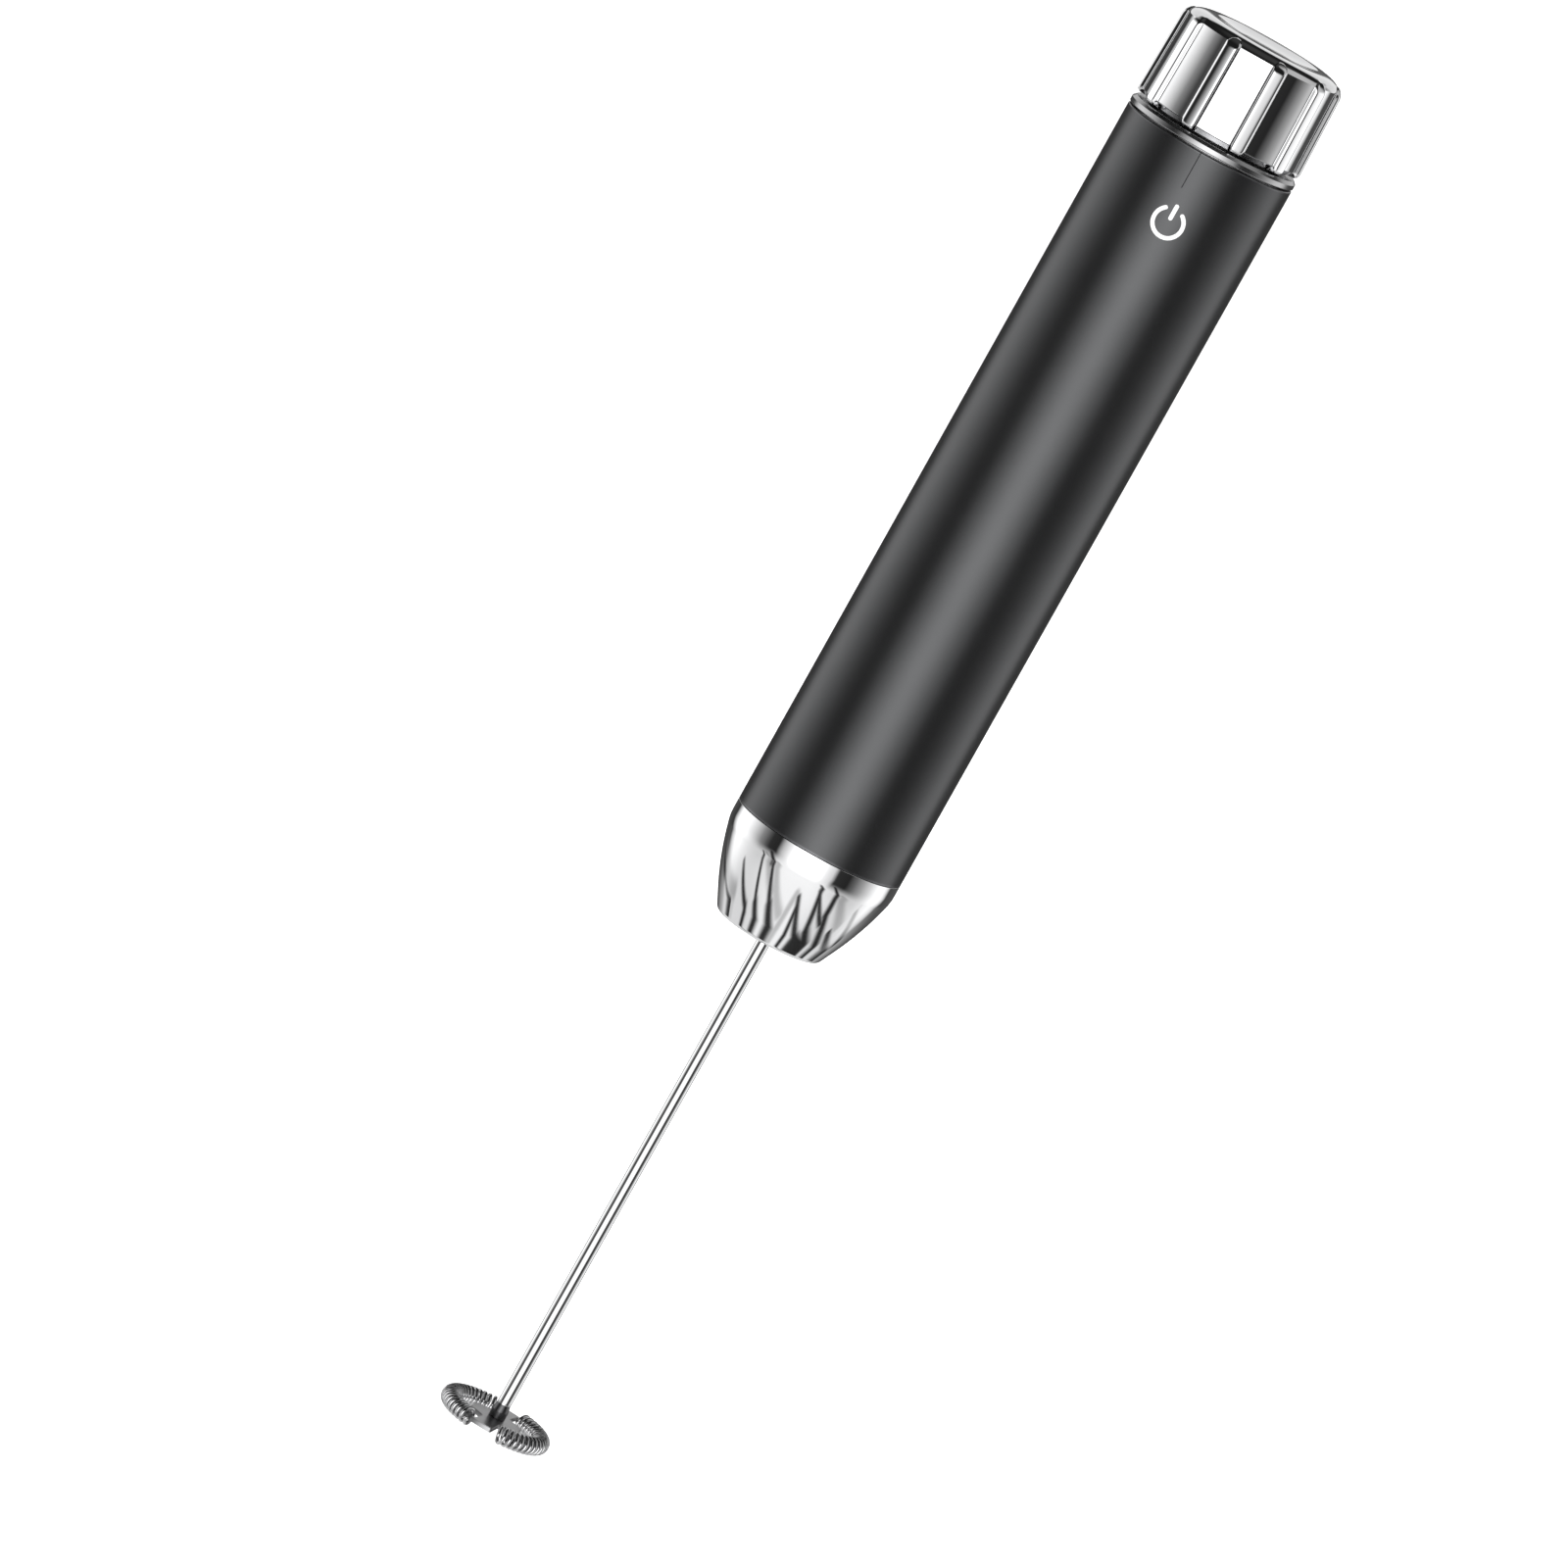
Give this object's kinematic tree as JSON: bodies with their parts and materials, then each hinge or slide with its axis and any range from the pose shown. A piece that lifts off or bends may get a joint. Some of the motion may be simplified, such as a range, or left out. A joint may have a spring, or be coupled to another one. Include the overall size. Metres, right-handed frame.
{
  "type": "milk frother",
  "caption": "Hand-held milk frother with a tubular handle, ribbed speed knob, tapered chrome nose and pull-off coil whisk.",
  "frame": {"origin": "on the axis, at the seam between the body sleeve and the nose, where a stand or hand holds it", "axes": "+Z along the axis towards the knob, whisk hanging along -Z, power mark facing -Y, charging port facing +Y"},
  "size_m": [0.03, 0.03, 0.2615],
  "materials": {
    "black_anodised": "satin black anodised tube",
    "chrome": "polished chrome",
    "stainless": "bright stainless steel",
    "black_plastic": "semi-gloss black plastic",
    "grey_plastic": "moulded grey plastic",
    "rubber": "matt black silicone",
    "plated_steel": "zinc plated steel",
    "magnet_grey": "dark ferrite",
    "core_steel": "stacked steel laminations",
    "copper": "lacquered copper",
    "bronze": "sintered bronze",
    "cell_wrap": "shrink-wrapped cell",
    "nickel": "nickel strip",
    "board_green": "solder-masked board",
    "chip_black": "matt black moulding",
    "lead_red": "red insulation"
  },
  "bodies": {
    "handle": {"body_sleeve": "black_anodised", "nose_cone": "chrome", "nose_seal": "rubber", "collar_ring": "chrome", "end_plug": "black_plastic", "inner_frame": "grey_plastic", "motor_cup": "grey_plastic", "motor_can": "plated_steel", "motor_end_cap": "black_plastic", "front_bush": "bronze", "rear_bush": "bronze", "magnet_front": "magnet_grey", "magnet_rear": "magnet_grey", "brush_left": "chip_black", "brush_right": "chip_black", "motor_screw_left": "plated_steel", "motor_screw_right": "plated_steel", "battery_cell": "cell_wrap", "battery_tab_minus": "nickel", "battery_tab_plus": "nickel", "circuit_board": "board_green", "charge_chip": "chip_black", "board_inductor": "magnet_grey", "usb_socket": "plated_steel", "motor_lead_plus": "lead_red", "motor_lead_minus": "chip_black", "dial_switch": "plated_steel", "dial_nut": "plated_steel"},
    "knob": {"knob_cap": "chrome", "knob_hub": "black_plastic", "dial_spindle": "stainless"},
    "rotor": {"motor_shaft": "stainless", "armature_core": "core_steel", "winding_1": "copper", "winding_2": "copper", "winding_3": "copper", "commutator": "copper"},
    "whisk": {"whisk_coupler": "black_plastic", "whisk_shaft": "stainless", "whisk_carrier": "stainless", "whisk_coil_left": "stainless", "whisk_coil_right": "stainless"},
    "port_cover": {"port_cover": "rubber"}
  },
  "joints": [
    {"name": "knob_turn", "type": "hinge", "parent": "handle", "child": "knob", "pos_m": [0, 0, 0.1323], "axis": [0, 0, -1], "range_deg": [0, 270]},
    {"name": "drive_spin", "type": "hinge", "parent": "handle", "child": "rotor", "pos_m": [0, 0, 0.0134], "axis": [0, 0, 1], "continuous": true},
    {"name": "whisk_pull", "type": "slide", "parent": "rotor", "child": "whisk", "axis": [0, 0, -1], "range_m": [0, 0.03]},
    {"name": "port_cover_pull", "type": "slide", "parent": "handle", "child": "port_cover", "axis": [0, 1, 0], "range_m": [0, 0.008]}
  ]
}
